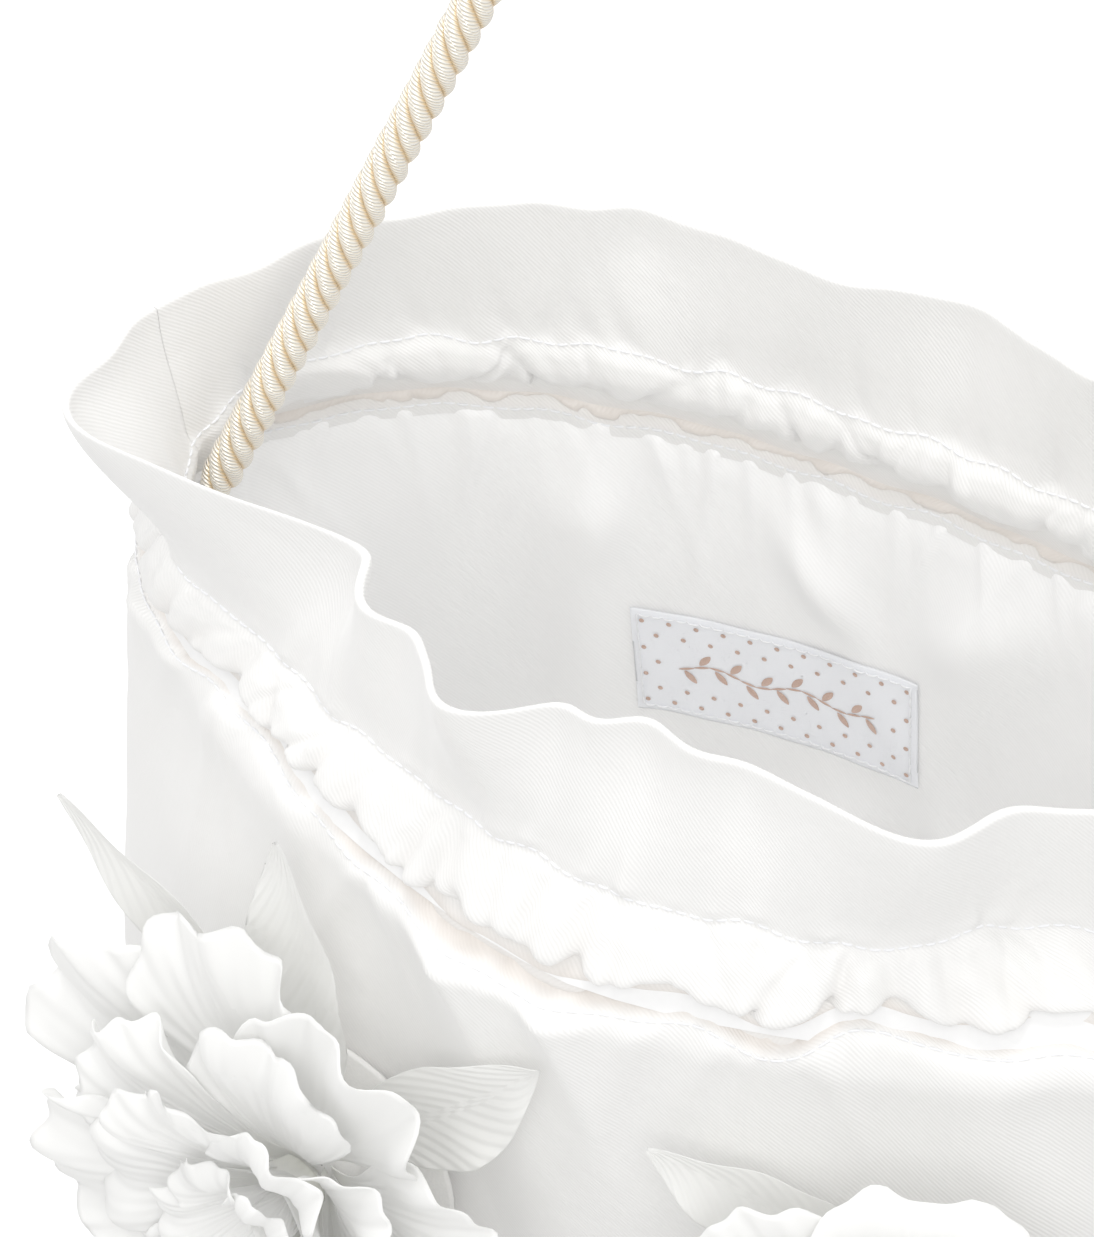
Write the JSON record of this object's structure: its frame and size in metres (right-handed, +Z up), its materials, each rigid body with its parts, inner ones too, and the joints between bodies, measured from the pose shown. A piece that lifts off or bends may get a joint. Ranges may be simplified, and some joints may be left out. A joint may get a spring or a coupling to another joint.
{
  "type": "flower girl basket",
  "caption": "Soft satin basket with an oval base, a gathered elastic mouth under a standing frill, a twisted rope handle and fabric flowers on the front, for scattering petals.",
  "frame": {"origin": "centre of the flat underside of the oval base", "axes": "+Z up, +X along the long axis of the mouth with the right-hand handle end at +X, -Y towards the front wall that carries the flowers"},
  "size_m": [0.2609, 0.1861, 0.3417],
  "materials": {
    "satin": "heavy ivory-white satin with a fine diagonal twill",
    "lining_satin": "lighter white lining satin",
    "rope_yarn": "silky cream viscose yarn, wound round each strand",
    "petal_cloth": "stiffened matt white petal cloth, pressed with veins",
    "felt": "white felt",
    "label_weave": "close bluish-white woven label with small metallic dots",
    "thread": "sewing thread",
    "elastic": "woven white elastic",
    "board": "bag board and firm interlining, hidden between the cloths",
    "wire": "annealed wire inside the rope, hidden"
  },
  "bodies": {
    "bag": {"base_cover": "satin", "base_board": "board", "base_lining": "lining_satin", "shell_front": "satin", "stiffener_front": "board", "lining_front": "lining_satin", "casing_front": "satin", "collar_front": "satin", "shell_back": "satin", "stiffener_back": "board", "lining_back": "lining_satin", "casing_back": "satin", "collar_back": "satin", "casing_elastic": "elastic", "woven_label": "label_weave", "anchor_tack_left": "thread", "anchor_tack_right": "thread", "peony_backing": "felt", "peony_stem": "felt", "peony_leaf_1": "petal_cloth", "peony_leaf_2": "petal_cloth", "peony_leaf_3": "petal_cloth", "peony_petals_1": "petal_cloth", "peony_petals_2": "petal_cloth", "peony_petals_3": "petal_cloth", "peony_petals_4": "petal_cloth", "peony_centre": "petal_cloth", "rose_backing": "felt", "rose_stem": "felt", "rose_leaf_1": "petal_cloth", "rose_leaf_2": "petal_cloth", "rose_petals_1": "petal_cloth", "rose_petals_2": "petal_cloth", "rose_petals_3": "petal_cloth", "rose_petals_4": "petal_cloth", "rose_centre": "petal_cloth"},
    "handle": {"rope_strand_1": "rope_yarn", "rope_strand_2": "rope_yarn", "rope_strand_3": "rope_yarn", "rope_strand_4": "rope_yarn", "handle_wire": "wire", "rope_tip_left": "rope_yarn", "rope_tip_right": "rope_yarn"}
  },
  "joints": [
    {"name": "handle_swing", "type": "hinge", "parent": "bag", "child": "handle", "pos_m": [0, 0, 0.142], "axis": [1, 0, 0], "range_deg": [-13, 7]}
  ]
}
